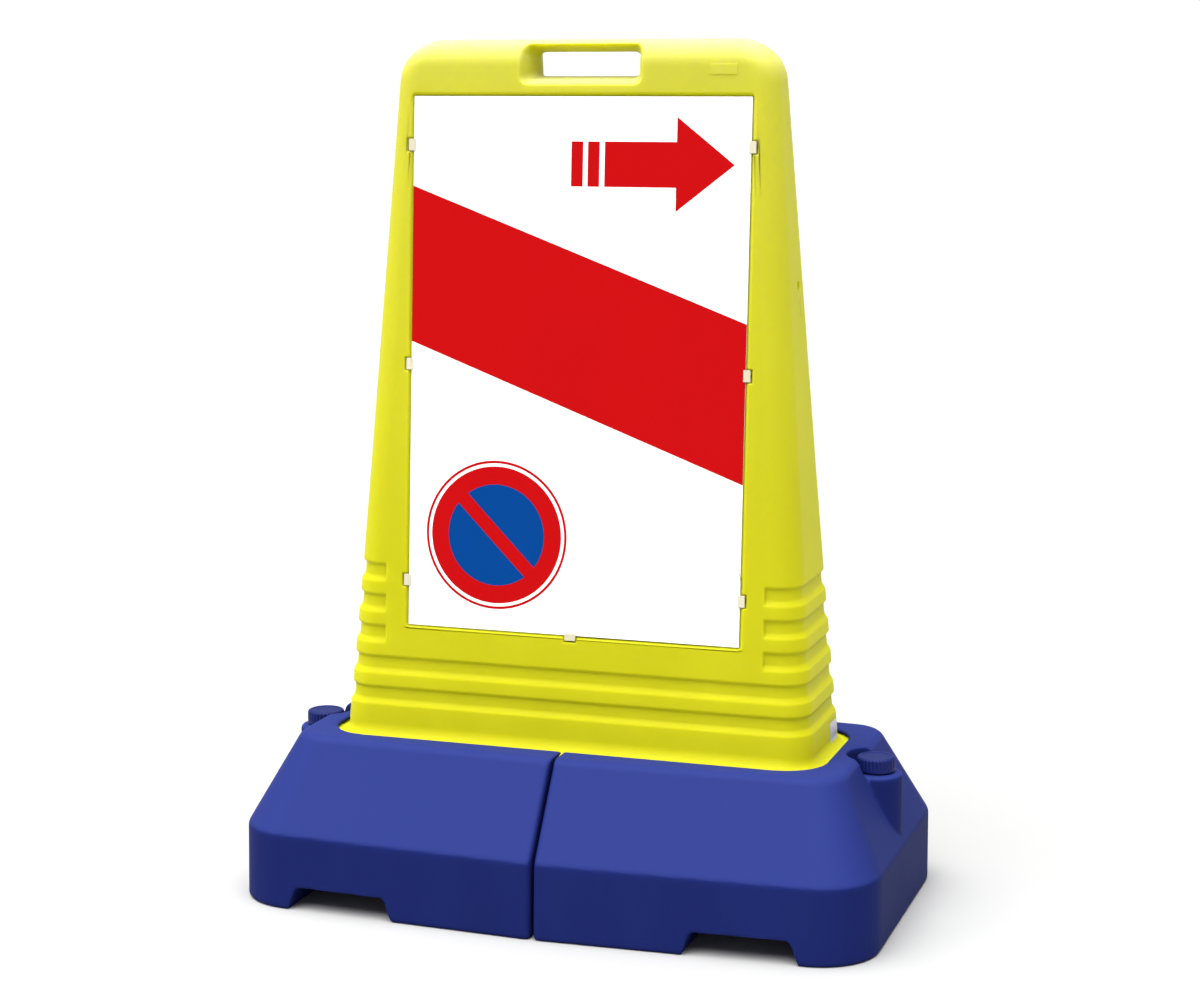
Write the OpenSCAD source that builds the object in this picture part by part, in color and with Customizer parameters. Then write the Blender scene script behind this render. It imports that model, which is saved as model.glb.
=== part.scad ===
// Freestanding road sign: a hollow plastic tower with a lift-in sign panel,
// held up by two water tanks that slide together round the tower's foot.
// Millimetres, +Z up, X across the sign, the sign faces -Y.
// The origin is on the floor, midway between the tanks.

/* [Tower] */
// Height of the top of the tower above the floor
tower_top_z = 1117; // [1085:1:1150]
// Half width of the tower at the top of the sign panel
top_half_w = 255.4; // [252:0.1:258]
// Half width of the tower where the ribs begin
rib_half_w = 301.2; // [298:0.1:304]
// Half width of the tower at the skirt above the foot
skirt_half_w = 316.5; // [314:0.1:319]
// Half width of the tower at the lower third of the sign panel
flank_half_w = 291.8; // [290:0.1:294]
// Half depth of the tower at the top of the sign panel
top_half_d = 46; // [42:1:52]
// Lean of the front and back faces from upright, in degrees
face_lean = 3.55; // [3:0.05:4]
// Thickness of the blow-moulded tower wall
tower_wall = 3.5; // [2.5:0.1:4.5]
// Radius of the upright corners at the top
top_corner_r = 30; // [22:1:34]
// Radius of the upright corners at the skirt
skirt_corner_r = 38; // [30:1:42]
// Radius of the two shoulders of the tower, seen from the front
shoulder_r = 52; // [42:1:60]
// Radius that rolls the front and back faces over the top
roll_r = 32; // [24:1:36]

/* [Ribs] */
// Height of the upper edge of the highest groove
groove_top_z = 440; // [430:1:450]
// Distance from one groove to the next
groove_pitch = 40; // [36:1:44]
// Number of short grooves, which stop beside the sign panel
short_grooves = 3; // [1:1:3]
// Number of grooves that run right round the tower
full_grooves = 2; // [1:1:2]
// Height of a groove
groove_h = 26; // [20:1:28]
// Depth of the grooves
groove_d = 4.5; // [3:0.5:6]
// Distance of the inner end of a short groove from the middle of the face
groove_end_x = 257; // [250:1:262]

/* [Handle] */
// Half width of the hand hole where the two walls are pinched together
hole_half_w = 68; // [55:1:74]
// Height of the hand hole at the pinch
hole_h = 30.4; // [24:0.2:34]
// Height of the middle of the hand hole above the floor
hole_z = 1085.8; // [1080:0.2:1090]
// How much the hole flares sideways at each face
hole_flare_x = 12; // [6:1:16]
// How much the hole flares upwards at each face
hole_flare_up = 11; // [6:1:14]
// How much the hole flares downwards at each face
hole_flare_down = 7; // [4:1:10]

/* [Sign panel] */
// Width of the sign panel
panel_w = 450; // [440:1:455]
// Height of the sign panel, measured along its face
panel_h = 688; // [670:1:692]
// Thickness of the sign panel
panel_t = 3; // [2:0.5:3]
// Height of the lower edge of the sign panel above the floor
panel_z = 358.9; // [352:0.1:366]
// Depth of the recess that takes the panel
recess_d = 5.5; // [5:0.1:7]
// Gap all round between the panel and the foot of the recess wall
panel_gap = 1.5; // [1:0.1:2.5]
// How much wider the recess is at the face than at its floor, each side
recess_draft = 2.5; // [1:0.1:3.5]

/* [Clips] */
// Length of a panel clip along the edge of the panel
clip_l = 15; // [12:0.5:17]
// Length of the notch that takes a clip
notch_l = 19; // [18:0.5:22]
// How far a notch reaches beyond the edge of the panel
notch_reach = 9.5; // [9:0.5:11]
// How far a clip's lip laps over the panel
clip_lap = 4; // [2:0.5:6]
// Thickness of a clip's lip
clip_lip_t = 1.4; // [1:0.1:1.8]
// Radius of the stud that holds a clip in the floor of its notch
stud_r = 3; // [2:0.1:3.4]

/* [Foot] */
// Height of the underside of the tower's foot above the floor
foot_z = 195; // [190:1:200]
// Thickness of the flange round the foot
flange_t = 11; // [8:0.5:12]
// How far the flange stands out from the skirt
flange_out = 26; // [24:0.5:27]
// Radius of the flare from the skirt into the flange
flare_r = 18; // [14:1:20]

/* [Tanks] */
// Length of the base over both tanks
base_l = 853.2; // [830:0.2:880]
// Half depth of a tank at the floor, beside the joint of the tanks
base_half_d = 241.9; // [235:0.1:250]
// Half depth of a tank at its shoulder
shoulder_half_d = 238.5; // [232:0.1:245]
// Half depth of the flat top of a tank
deck_half_d = 158.4; // [156:0.1:165]
// Distance of the outer end of the flat top from the middle of the sign
deck_end_x = 367.3; // [364:0.1:370]
// Height of the shoulder, where the upright wall meets the slope
shoulder_z = 96.9; // [85:0.1:105]
// Height of the flat top above the floor
deck_z = 213; // [211:0.5:216]
// Angle by which the long sides draw in towards the ends, in degrees
side_taper = 2.3; // [1:0.1:3]
// Radius of a tank's outer upright corners below the shoulder
tank_corner_r = 80; // [60:1:90]
// Radius of a tank's outer corners at the flat top
deck_corner_r = 41; // [25:1:50]
// Radius of the edge between the slope and the flat top
deck_edge_r = 26; // [14:1:28]
// Radius of a tank's upright corners at the joint of the tanks
joint_corner_r = 7; // [4:1:12]
// Gap between the two tanks
tank_gap = 4; // [2:0.5:8]
// Thickness of the blow-moulded tank wall
tank_wall = 4; // [3:0.5:5]

/* [Tank feet] */
// Distance of the inner foot of the channel from the middle of the sign
channel_in_x = 194; // [180:1:210]
// Distance of the outer foot of the channel from the middle of the sign
channel_out_x = 341; // [325:1:350]
// Height of the channel under a tank
channel_h = 30; // [22:1:36]
// How far each side of the channel leans in towards its roof
channel_lean = 11; // [8:1:18]

/* [Foot recess] */
// Gap between the tower's flange and the slot that takes it
slot_gap = 1.5; // [1:0.1:2]
// Thickness of the lip that holds the flange down
lip_t = 6; // [4:0.5:6.5]
// How far the edge of the lip stands out from the skirt of the tower
lip_edge = 18.5; // [18.2:0.1:20]

/* [Filler] */
// Distance of a filler cap from the middle of the sign
cap_x = 386; // [384:0.5:388]
// Height of the top of the boss that carries the filler neck
boss_z = 190; // [186:0.5:193]
// Radius of the boss
boss_r = 34.5; // [32:0.5:36]
// Softened rim of the boss
boss_rim = 4; // [1:0.5:5]
// Radius of the pocket round the cap
pocket_r = 37.5; // [36.5:0.5:38]
// Softened rim of that pocket
pocket_rim = 3.5; // [1:0.5:5]
// Outer radius of the filler neck
neck_r = 20.5; // [18:0.5:21]
// Radius of the bore of the filler neck
bore_r = 16.5; // [12:0.5:17]
// Height of the filler neck above its boss
neck_h = 15.5; // [14:0.5:16]

/* [Caps] */
// Outer radius of a filler cap over its ridges
cap_r = 25.2; // [24:0.2:26]
// Height of a filler cap
cap_h = 18; // [17.5:0.5:19]
// Gap between the cap's skirt and the boss
cap_lift = 2; // [1:0.1:2.5]
// Gap all round between the cap's skirt and the neck
thread_gap = 0.8; // [0.4:0.1:1.2]
// Number of grip ridges on a cap
grip_count = 30; // [20:1:36]
// Depth of the grooves between the ridges
grip_d = 1.2; // [0.6:0.1:1.6]
// Thickness of the sealing ring in a cap
seal_t = 2; // [1:0.1:2.2]

/* [Blow hole] */
// Height of the blow hole in the right side above the floor
blow_z = 809; // [780:1:840]
// Radius of the blow hole
blow_r = 6; // [4:0.5:7]
// Length of the groove that runs down from the blow hole
vent_l = 40; // [30:1:50]
// Width and depth of the groove below the blow hole
vent_w = 2.4; // [1.5:0.1:2.5]

/* [Hidden] */
$fn = 72;
// Steps in a quarter turn of an upright corner, of the crown and of the flare
corner_steps = 6;
crown_steps = 7;
flare_steps = 4;
edge_steps = 3;
// Overrun of every cut, and the gap left between seated pieces
over = 4;
seat = 0.3;
// Heights of the two steps of a groove, and how far the steps inside the wall
// are spread apart as a share of the wall
groove_step_top = 4;
groove_step_low = 10;
spread_share = 0.5;
// Chamfer of the foot flange
flange_edge = 2;
// Chamfer round the top of a cap
cap_edge = 1.5;
// Length over which a short groove runs out at its inner end
groove_runout = 1.5;
// Softened edge of the tank at the floor and at the shoulder, and of its feet
sill_r = 4;
shoulder_edge = 5;
shoulder_ease = 0.7;
channel_r = 8;
// Heights where the sides of the tower change their slope
skirt_top_z = 264;
flank_z = 560;
// Distance of the clip rows from the lower edge of the panel, along the face
clip_rows = [59, 343, 626];
// Distance of the floor of a clip's notch below the recess floor
notch_sink = 1;
// Radius of the corners of the hand hole, and reach of its cut beyond the faces
hole_corner_r = 6;
hole_reach = 60;
// Clearance of a stud in its hole and the length of the stud
stud_gap = 0.3;
stud_l = 9;

tan_lean = tan(face_lean);
crown_z = tower_top_z - shoulder_r;
roll_z = tower_top_z - roll_r;
panel_top_z = panel_z + panel_h * cos(face_lean);
side_slope = (flank_half_w - top_half_w) / (panel_top_z - flank_z);
flange_top_z = foot_z + flange_t;
grooves = short_grooves + full_grooves;
groove_low_z = groove_top_z - groove_pitch * (grooves - 1) - groove_h;
tank_end_x = base_l / 2;
neck_top_z = boss_z + neck_h;
cap_z = boss_z + cap_lift;
cap_top_z = cap_z + cap_h;
cap_bore_r = neck_r + thread_gap;
cap_bore_top_z = neck_top_z + seal_t + 2 * seat;

// Half width, half depth and corner radius of the tower at a height
function half_w(z) = lookup(z, [
    [skirt_top_z, skirt_half_w], [groove_top_z, rib_half_w], [flank_z, flank_half_w],
    [panel_top_z, top_half_w],
    [tower_top_z, top_half_w - (tower_top_z - panel_top_z) * side_slope]]);
function half_d(z) = top_half_d + (panel_top_z - z) * tan_lean;
function corner_r(z) = lookup(z, [[groove_low_z, skirt_corner_r], [crown_z, top_corner_r]]);

// A quarter turn of points about a centre, starting at an angle
function arc(cx, cy, r, from, steps) =
    [for (i = [0:steps]) let (a = from + 90 * i / steps) [cx + r * cos(a), cy + r * sin(a)]];

// The tower's outline at a height: w and d are its half sizes, r its corner
// radius, and the middle stretch of each face stands out by proud
function tower_ring(z, w, d, r, proud) =
    let (e = min(groove_end_x, w - r - 2 * groove_runout), f = e + groove_runout)
    [for (p = concat(
        arc(w - r, d - r, r, 0, corner_steps),
        [[f, d], [e, d + proud], [-e, d + proud], [-f, d]],
        arc(r - w, d - r, r, 90, corner_steps),
        arc(r - w, r - d, r, 180, corner_steps),
        [[-f, -d], [-e, -d - proud], [e, -d - proud], [f, -d]],
        arc(w - r, r - d, r, 270, corner_steps)))
    [p[0], p[1], z]];

// The same, drawn in by inset from the plain shape of the tower at that height
function plain_ring(z, inset, proud = 0) =
    tower_ring(z, half_w(z) - inset, half_d(z) - inset, corner_r(z) - inset, proud);

// The four outlines of groove k, counted from the lowest
function groove_rings(k, inset) =
    let (short = k >= full_grooves,
         top = groove_top_z - groove_pitch * (grooves - 1 - k) + inset * spread_share,
         low = groove_top_z - groove_pitch * (grooves - 1 - k) - inset * spread_share - groove_h,
         proud = short ? groove_d : 0)
    [plain_ring(low, inset),
     plain_ring(low + groove_step_low, inset + groove_d, proud),
     plain_ring(top - groove_step_top, inset + groove_d, proud),
     plain_ring(top, inset)];

// The outlines of the rounded top, for a skin that lies inset inside the surface
function crown_rings(inset) =
    [for (i = [0:crown_steps])
        let (t = 90 * i / crown_steps, rr = shoulder_r - inset,
             z = crown_z + rr * sin(t),
             w = half_w(z) - shoulder_r + rr * cos(t),
             rolled = sqrt(max(0, pow(roll_r - inset, 2) - pow(max(0, z - roll_z), 2))),
             d = half_d(z) - roll_r + rolled,
             r = min(corner_r(z) - inset, d - seat))
        tower_ring(z, w, d, r, 0)];

// A closed skin through a list of outlines that have the same number of points
module skin(rings) {
    n = len(rings[0]);
    last = len(rings) - 1;
    points = [for (ring = rings) for (p = ring) p];
    faces = concat(
        [[for (j = [0:n - 1]) j]],
        [[for (j = [n - 1:-1:0]) last * n + j]],
        [for (i = [0:last - 1]) for (j = [0:n - 1]) let (k = (j + 1) % n)
            [i * n + j, (i + 1) * n + k, i * n + k]],
        [for (i = [0:last - 1]) for (j = [0:n - 1]) let (k = (j + 1) % n)
            [i * n + j, (i + 1) * n + j, (i + 1) * n + k]]);
    polyhedron(points, faces, convexity = 10);
}

// The outside of the tower, from its foot flange to its crown
module tower_outside() {
    skin(concat(
        [plain_ring(foot_z, flange_edge - flange_out),
         plain_ring(foot_z + flange_edge, -flange_out),
         plain_ring(flange_top_z - flange_edge, -flange_out),
         plain_ring(flange_top_z, flange_edge - flange_out)],
        [for (i = [0:flare_steps]) let (t = 90 * i / flare_steps)
            plain_ring(flange_top_z + flare_r * (1 - cos(t)), flare_r * (sin(t) - 1))],
        [for (k = [0:grooves - 1]) each groove_rings(k, 0)],
        [plain_ring(flank_z, 0)],
        crown_rings(0)));
}

// The hollow inside the tower, without the bays of the recess and the hand hole
module tower_inside() {
    skin(concat(
        [plain_ring(foot_z + tower_wall, tower_wall)],
        [for (k = [0:grooves - 1]) each groove_rings(k, tower_wall)],
        [plain_ring(flank_z, tower_wall)],
        crown_rings(tower_wall)));
}

// Places children in the plane of the front face: X across, Z up the face and
// Y into the tower, with the origin at the lower edge of the panel
module on_face() {
    translate([0, -half_d(panel_z), panel_z]) rotate([-face_lean, 0, 0]) children();
}

// Does the same on the front and on the back
module on_both_faces() {
    on_face() children();
    rotate([0, 0, 180]) on_face() children();
}

// A tapered block between a rectangle at depth y0 and one at depth y1, each
// given as half width, bottom and top
module tapered_block(y0, a, y1, b) {
    skin([for (s = [[y0, a], [y1, b]]) let (y = s[0], q = s[1])
        [[-q[0], y, q[1]], [-q[0], y, q[2]], [q[0], y, q[2]], [q[0], y, q[1]]]]);
}

// The recess for the panel, grown on every side by grow
module panel_recess(grow) {
    out = grow + panel_gap;
    wide = out + recess_draft * (recess_d + over) / recess_d;
    tapered_block(-over, [panel_w / 2 + wide, -wide, panel_h + wide],
                  recess_d + grow, [panel_w / 2 + out, -out, panel_h + out]);
}

// Places children at each clip: the origin is on the panel's edge, Z runs along
// the edge and X outwards
module at_clips() {
    for (z = clip_rows) {
        translate([panel_w / 2, 0, z]) children();
        translate([-panel_w / 2, 0, z]) mirror([1, 0, 0]) children();
    }
    rotate([0, 90, 0]) children();
}

// The notch of one clip, with the hole for its stud
module clip_notch() {
    translate([-panel_gap, -over, -notch_l / 2])
        cube([notch_reach + panel_gap, over + recess_d + notch_sink, notch_l]);
    translate([notch_reach / 2, 0, 0]) rotate([-90, 0, 0])
        cylinder(r = stud_r + stud_gap, h = recess_d + tower_wall + 2 * over);
}

// The hand hole: a funnel from each face to the pinch in the middle, grown by grow
module hand_hole(grow) {
    for (turn = [0, 180]) rotate([0, 0, turn]) {
        reach = hole_reach;
        share = reach / half_d(hole_z);
        w0 = hole_half_w + grow;
        w1 = w0 + hole_flare_x * share;
        top0 = hole_z + hole_h / 2 + grow;
        low0 = hole_z - hole_h / 2 - grow;
        top1 = top0 + hole_flare_up * share;
        low1 = low0 - hole_flare_down * share;
        r = hole_corner_r + grow;
        skin([for (s = [[seat, w0, low0, top0], [-reach, w1, low1, top1]])
            [for (p = concat(
                arc(s[1] - r, s[2] + r, r, 270, 3), arc(s[1] - r, s[3] - r, r, 0, 3),
                arc(r - s[1], s[3] - r, r, 90, 3), arc(r - s[1], s[2] + r, r, 180, 3)))
            [p[0], s[0], p[1]]]]);
    }
}

// The blow hole and the groove below it, in the right side of the tower
module blow_hole() {
    translate([half_w(blow_z) - 2 * tower_wall, 0, blow_z]) rotate([0, 90, 0])
        cylinder(r = blow_r, h = 4 * tower_wall, $fn = 24);
    translate([half_w(blow_z), -vent_w / 2, blow_z]) rotate([0, 180 - atan(side_slope), 0])
        translate([-vent_w / 2, 0, 0]) cube([vent_w, vent_w, vent_l]);
}

module tower_body() {
    color("#d8d63c") difference() {
        tower_outside();
        difference() {
            tower_inside();
            on_both_faces() panel_recess(tower_wall);
            on_both_faces() at_clips()
                translate([-over, 0, -notch_l / 2 - tower_wall])
                    cube([notch_reach + over + tower_wall,
                          recess_d + notch_sink + tower_wall, notch_l + 2 * tower_wall]);
            hand_hole(tower_wall);
        }
        on_both_faces() panel_recess(0);
        on_both_faces() at_clips() clip_notch();
        hand_hole(0);
        blow_hole();
    }
}

module sign_panel() {
    color("white") on_face()
        translate([-panel_w / 2, recess_d - seat - panel_t, 0]) cube([panel_w, panel_t, panel_h]);
}

// One clip: a block in the notch, a stud in its floor and a lip over the panel
module clip() {
    face_y = recess_d - seat - panel_t;
    lip_y = face_y - seat - clip_lip_t;
    block_x = seat;
    block_w = notch_reach - 2 * seat - block_x;
    floor_y = recess_d + notch_sink - seat;
    translate([block_x, lip_y, -clip_l / 2]) cube([block_w, floor_y - lip_y, clip_l]);
    translate([-clip_lap, lip_y, -clip_l / 2]) cube([clip_lap + block_x + over / 4, clip_lip_t, clip_l]);
    translate([notch_reach / 2, floor_y - seat, 0]) rotate([-90, 0, 0])
        cylinder(r = stud_r, h = stud_l, $fn = 24);
}

module panel_clips() {
    color("#e8e4d8") on_face() at_clips() clip();
}

// A tank's outline at a height, for the tank on the +X side: x is its outer end,
// d its half depth at the middle of the sign, r the radius of its outer corners
// and draw the angle by which its long sides draw in
function tank_ring(z, x, d, r, inset) =
    let (x0 = tank_gap / 2 + inset, x1 = x - inset, t = tan(side_taper),
         q = max(r - inset, sill_r), s = max(joint_corner_r - inset, sill_r / 2),
         dq = d - inset - (x1 - q) * t, ds = d - inset - x0 * t)
    [for (p = concat(
        arc(x1 - q, dq - q, q, 0, corner_steps), arc(x0 + s, ds - s, s, 90, 2),
        arc(x0 + s, s - ds, s, 180, 2), arc(x1 - q, q - dq, q, 270, corner_steps)))
    [p[0], p[1], z]];

// The plain shape of a tank at a height, as end, half depth and corner radius
function tank_x(z) = lookup(z, [[shoulder_z, tank_end_x], [deck_z, deck_end_x]]);
function tank_d(z) = lookup(z, [[0, base_half_d], [shoulder_z, shoulder_half_d], [deck_z, deck_half_d]]);
function tank_r(z) = lookup(z, [[shoulder_z, tank_corner_r], [deck_z, deck_corner_r]]);
function tank_plain(z, inset) = tank_ring(z, tank_x(z), tank_d(z), tank_r(z), inset);

// The rounded edge of the flat top: outlines that leave the slope and run level
function deck_rings(inset) =
    let (slope = atan((shoulder_half_d - deck_half_d) / (deck_z - shoulder_z)),
         turn = 90 - slope, back = deck_edge_r * tan(turn / 2), r = deck_edge_r - inset)
    [for (i = [0:edge_steps])
        let (a = slope + turn * i / edge_steps, out = r * cos(a) - back + inset)
        tank_ring(deck_z - deck_edge_r + r * sin(a), deck_end_x + out, deck_half_d + out,
                  deck_corner_r + out, inset)];

// A tank's skin, lying inset inside the outer surface
module tank_skin(inset) {
    skin(concat(
        [tank_ring(inset, tank_x(0), tank_d(0), tank_r(0), inset + sill_r / 2),
         tank_plain(sill_r + inset, inset),
         tank_plain(shoulder_z - shoulder_edge, inset),
         tank_plain(shoulder_z, inset + shoulder_ease),
         tank_plain(shoulder_z + shoulder_edge, inset)],
        deck_rings(inset)));
}

// The round boss that carries the filler neck, lying inset inside its surface
module boss(inset) {
    low = shoulder_z - 2 * over;
    r = boss_r - inset;
    top = boss_z - inset;
    translate([cap_x, 0, 0]) rotate_extrude() polygon([
        [0, low], [r, low], [r, top - boss_rim], [r - boss_rim / 4, top - boss_rim / 4],
        [r - boss_rim, top], [0, top]]);
}

// The pocket round the filler cap, grown by grow
module cap_pocket(grow) {
    r = pocket_r + grow;
    low = boss_z - grow;
    rim = deck_z - pocket_rim;
    translate([cap_x, 0, 0]) rotate_extrude() polygon([
        [0, low], [r, low], [r, rim - over], [r + pocket_rim / 4, rim], [r + pocket_rim, deck_z],
        [r + pocket_rim, deck_z + over], [0, deck_z + over]]);
}

// The room the tower's foot takes in the tanks, grown by grow: a slot for the
// flange and, through the flat top, an opening with a lip over the flange
module foot_recess(grow) {
    for (cut = [[flange_out + slot_gap, deck_z - lip_t + grow], [lip_edge, deck_z + over]]) {
        out = cut[0] + grow;
        skin([for (z = [foot_z - seat - grow, cut[1]])
            tower_ring(z, skirt_half_w + out, half_d(flange_top_z) + out, skirt_corner_r + out, 0)]);
    }
}

// The channel that leaves a tank standing on two feet, grown by grow
module channel(grow) {
    r = channel_r - (grow > 0 ? over : 0);
    reach = base_half_d + over;
    x0 = channel_in_x - grow;
    x1 = channel_out_x + grow;
    top = channel_h + grow;
    low = -over;
    rotate([90, 0, 0]) linear_extrude(height = 2 * reach, center = true) polygon(concat(
        [[x0 - channel_lean * over / channel_h, low], [x1 + channel_lean * over / channel_h, low]],
        arc(x1 - channel_lean - r, top - r, r, 0, edge_steps),
        arc(x0 + channel_lean + r, top - r, r, 90, edge_steps)));
}

// The water tank on the +X side
module tank() {
    difference() {
        union() {
            difference() {
                union() {
                    tank_skin(0);
                    boss(0);
                }
                cap_pocket(0);
                foot_recess(0);
            }
            translate([cap_x, 0, boss_z - tank_wall / 2])
                cylinder(r = neck_r, h = neck_h + tank_wall / 2);
        }
        difference() {
            union() {
                difference() {
                    tank_skin(tank_wall);
                    cap_pocket(tank_wall);
                    foot_recess(tank_wall);
                }
                boss(tank_wall);
            }
            channel(tank_wall);
        }
        channel(0);
        translate([cap_x, 0, boss_z - tank_wall - over])
            cylinder(r = bore_r, h = neck_h + tank_wall + 2 * over);
    }
}

module right_tank() {
    color("#3f4a9c") tank();
}

module left_tank() {
    color("#3f4a9c") mirror([1, 0, 0]) tank();
}

// A filler cap over the neck on the +X side
module cap() {
    translate([cap_x, 0, cap_z]) difference() {
        rotate_extrude() polygon([
            [cap_bore_r, 0], [cap_r, 0], [cap_r, cap_h - cap_edge], [cap_r - cap_edge, cap_h],
            [0, cap_h], [0, cap_bore_top_z - cap_z], [cap_bore_r, cap_bore_top_z - cap_z]]);
        for (i = [0:grip_count - 1]) rotate([0, 0, 360 * i / grip_count])
            translate([cap_r, 0, -over]) cylinder(r = grip_d, h = cap_h + 2 * over, $fn = 16);
    }
}

// The sealing disc that lies in the cap, on the rim of the neck
module seal() {
    translate([cap_x, 0, neck_top_z + seat]) cylinder(r = cap_bore_r - seat, h = seal_t);
}

module right_cap() {
    color("#2c3580") cap();
}

module left_cap() {
    color("#2c3580") mirror([1, 0, 0]) cap();
}

module right_cap_seal() {
    color("#dddddd") seal();
}

module left_cap_seal() {
    color("#dddddd") mirror([1, 0, 0]) seal();
}

tower_body();
sign_panel();
panel_clips();
left_tank();
right_tank();
left_cap();
right_cap();
left_cap_seal();
right_cap_seal();
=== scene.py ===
import math

import bmesh
import bpy
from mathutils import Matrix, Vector, kdtree


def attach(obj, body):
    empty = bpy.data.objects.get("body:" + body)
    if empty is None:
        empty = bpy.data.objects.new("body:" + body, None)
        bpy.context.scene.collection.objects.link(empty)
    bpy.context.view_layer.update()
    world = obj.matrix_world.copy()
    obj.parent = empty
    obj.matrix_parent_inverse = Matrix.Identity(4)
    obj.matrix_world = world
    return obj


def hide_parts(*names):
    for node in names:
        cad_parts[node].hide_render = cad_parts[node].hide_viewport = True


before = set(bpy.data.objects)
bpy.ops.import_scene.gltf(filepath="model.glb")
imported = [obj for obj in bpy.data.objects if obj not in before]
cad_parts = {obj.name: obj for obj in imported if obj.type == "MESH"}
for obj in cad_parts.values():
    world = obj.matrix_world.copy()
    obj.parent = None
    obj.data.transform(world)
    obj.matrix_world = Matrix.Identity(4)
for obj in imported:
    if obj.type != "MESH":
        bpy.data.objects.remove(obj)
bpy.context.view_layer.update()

# Sizes, in millimetres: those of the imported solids, or nearer to the photo where it shows more
MM = 0.001
TOWER_TOP, SHOULDER_R, ROLL_R = 1116.99, 52.0, 32.0
FOOT_Z, FLANGE_TOP, FLARE_R = 195.0, 206.0, 18.0
FACE_LEAN = 3.55
PANEL_Z, PANEL_W, PANEL_H, PANEL_T = 358.9, 450.0, 688.0, 3.0
PANEL_TOP = PANEL_Z + PANEL_H * math.cos(math.radians(FACE_LEAN))
RECESS_D, RECESS_GAP, RECESS_DRAFT, RECESS_CORNER_R = 5.5, 0.3, 3.7, 2.5
PANEL_FACE = RECESS_D - RECESS_GAP - PANEL_T
TOP_HALF_D = 46.0
SKIRT_HALF_W, SKIRT_CORNER_R, TOP_CORNER_R = 316.5, 38.0, 30.0
FLANK_Z, FLANK_HALF_W, PANEL_TOP_HALF_W = 560.0, 291.8, 255.4
FLANGE_RINGS = ((23.0, FOOT_Z), (24.8, FOOT_Z + 0.7), (26.0, FOOT_Z + 2.6),
                (26.0, FLANGE_TOP - 3.4), (25.6, FLANGE_TOP - 1.9), (24.6, FLANGE_TOP - 0.7),
                (22.6, FLANGE_TOP))

# The grooves round the skirt: how deep one is after a drop from its upper edge, as a share
# of its full depth, and the drops at which the tower gets an outline
GROOVE_TOP, GROOVE_PITCH, GROOVE_H, GROOVE_D = 438.2, 41.0, 26.0, 4.0
GROOVE_END_X, GROOVE_COUNT, SHORT_GROOVES = 257.0, 5, 3
GROOVE_SHARES = ((0.0, 0.0), (3.2, 1.0), (17.5, 1.0), (24.5, 0.0))
GROOVE_BLUR = (-1.5, -1.0, -0.5, 0.0, 0.5, 1.0, 1.5)
GROOVE_DROPS = (27.0, 25.6, 24.8, 24.0, 23.2, 22.0, 20.8, 19.6, 18.4, 17.4, 16.6, 15.6, 10.0,
                5.0, 4.2, 3.4, 2.6, 1.8, 1.0, 0.2, -0.8, -2.0)
GROOVE_END_STEPS = ((-1.6, 1.0), (-0.6, 0.86), (0.4, 0.5), (1.4, 0.14), (2.2, 0.0))

# The clips' notches, studs and rows, the hand hole, the blow hole, the plate and the sticker
CLIP_ROWS = (59.0, 343.0, 626.0)
NOTCH_L, NOTCH_IN, NOTCH_REACH, NOTCH_FLOOR = 18.0, 1.5, 9.0, 3.4
STUD_OUT, STUD_HOLE_R, STUD_R, STUD_TIP_R = 3.6, 3.3, 2.4, 1.6
CLIP_HALF_L, CLIP_NEAR, CLIP_FAR, LIP_IN, LIP_OUT, LIP_T = 7.5, 0.4, 6.6, 2.6, 3.0, 1.4
HOLE_Z, HOLE_HALF_W, HOLE_HALF_H, HOLE_CORNER_R = 1085.8, 68.0, 15.2, 8.5
RIM_HALF_W, RIM_LOW, RIM_TOP, RIM_CORNER_R = 84.0, 1058.5, 1113.2, 13.0
RIM_LEAVE, RIM_ARRIVE, RIM_SPREAD = 7.0, 20.0, 4.0
BLOW_Z, BLOW_Y, BLOW_R, VENT_L = 809.0, 10.0, 6.0, 36.0
BADGE = (169.5, 205.5, 715.0, 728.5)
LABEL_LOW, LABEL_HIGH, LABEL_NEAR, LABEL_FAR = 215.0, 240.0, 24.0, 60.0
OVERRUN, TOWER_CUT, TANK_CUT = 4.0, 90.0, 250.0

# The tanks, their filler bosses, necks and caps, and the channel under them
TANK_GAP = 4.0
TANK_END_X, BASE_HALF_D, SHOULDER_HALF_D = 426.59, 241.88, 238.5
DECK_END_X, DECK_HALF_D = 367.3, 158.4
SHOULDER_Z, DECK_Z, DECK_EDGE_R = 96.9, 213.0, 16.0
CORNER_R, DECK_CORNER_R, JOINT_R = 80.0, 41.0, 7.0
SIDE_TAPER = math.tan(math.radians(2.3))
WALL_RINGS = ((0.0, 3.2), (0.5, 1.7), (1.6, 0.6), (3.6, 0.0), (30.0, 0.0), (60.0, 0.0))
SHOULDER_RINGS = ((93.0, 0.0), (95.0, 0.1), (SHOULDER_Z, 0.4), (98.8, 0.1), (101.0, 0.0))
CAP_X, BOSS_Z, BOSS_R, POCKET_R = 386.0, 190.0, 34.5, 37.5
NECK_R, NECK_H, BORE_R = 20.5, 15.5, 16.5
CAP_Z, CAP_BORE_R, GRIP_COUNT, SEAL_R, SEAL_T, SEAL_GAP = 192.0, 21.3, 30, 21.0, 2.0, 0.3
THREAD_R, THREAD_PITCH, THREAD_TURN = 0.9, 4.0, 1000.0
CHANNEL_IN, CHANNEL_OUT, CHANNEL_H, CHANNEL_LEAN, CHANNEL_R = 194.0, 341.0, 30.0, 11.0, 9.0

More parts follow.
